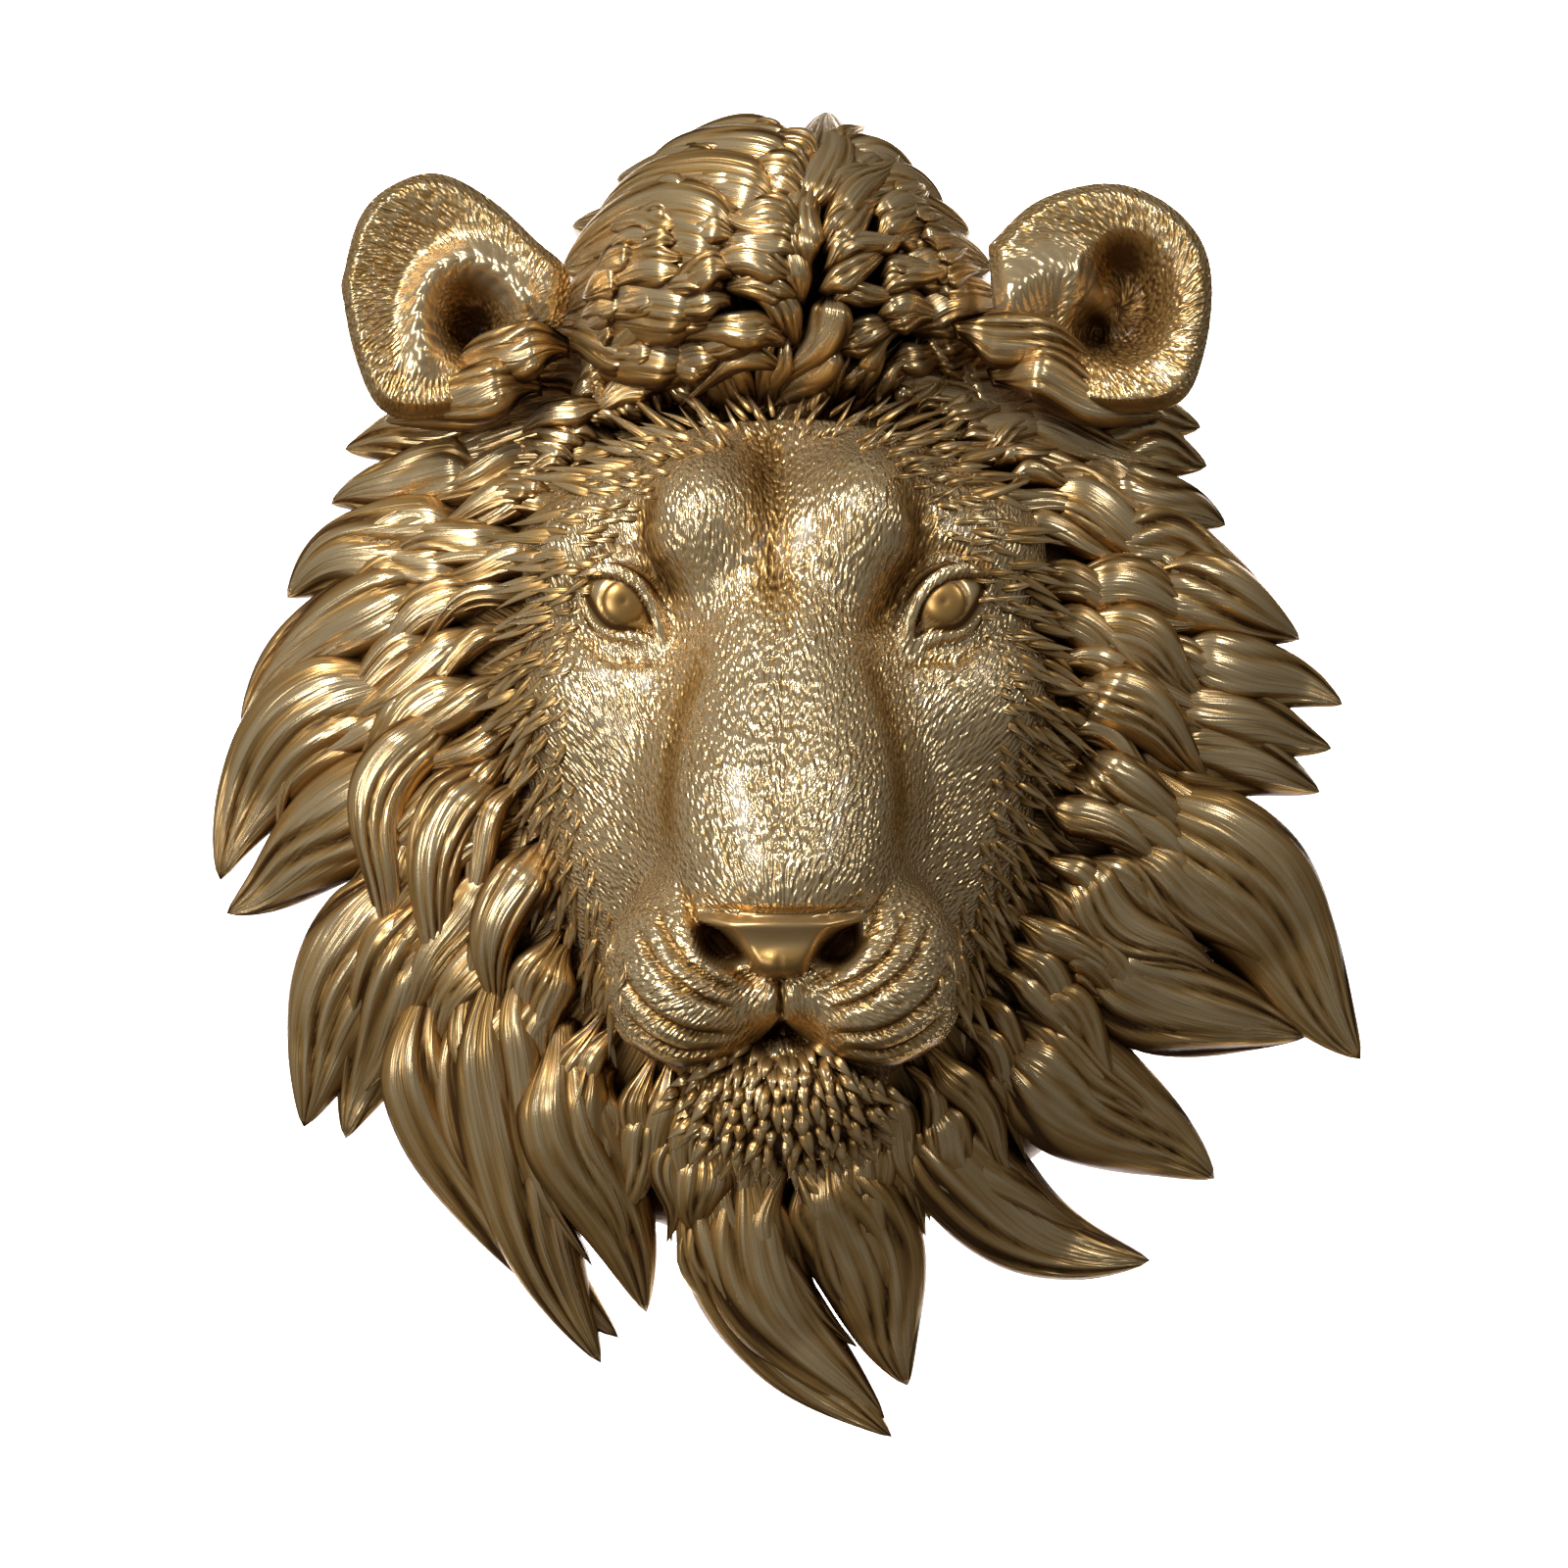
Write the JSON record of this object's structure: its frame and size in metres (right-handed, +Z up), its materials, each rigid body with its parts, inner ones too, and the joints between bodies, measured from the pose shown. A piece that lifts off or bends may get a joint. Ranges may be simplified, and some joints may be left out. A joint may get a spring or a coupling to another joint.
{
  "type": "lion head wall mask",
  "caption": "Lion's head in high relief with a full mane and round ears, cast with a flat back to hang on a wall",
  "frame": {"origin": "on the flat back, midway between the lowest and the highest point of the mane, on the line of the nose", "axes": "+X to the viewer's right, +Z up, and the lion looks along -Y, so +Y points into the wall"},
  "size_m": [0.259, 0.1122, 0.299],
  "materials": {
    "gold_paint": "metallic gold paint on cast resin, worn darker in the hollows"
  },
  "bodies": {
    "root": {"lion_mask": "gold_paint"}
  },
  "joints": []
}
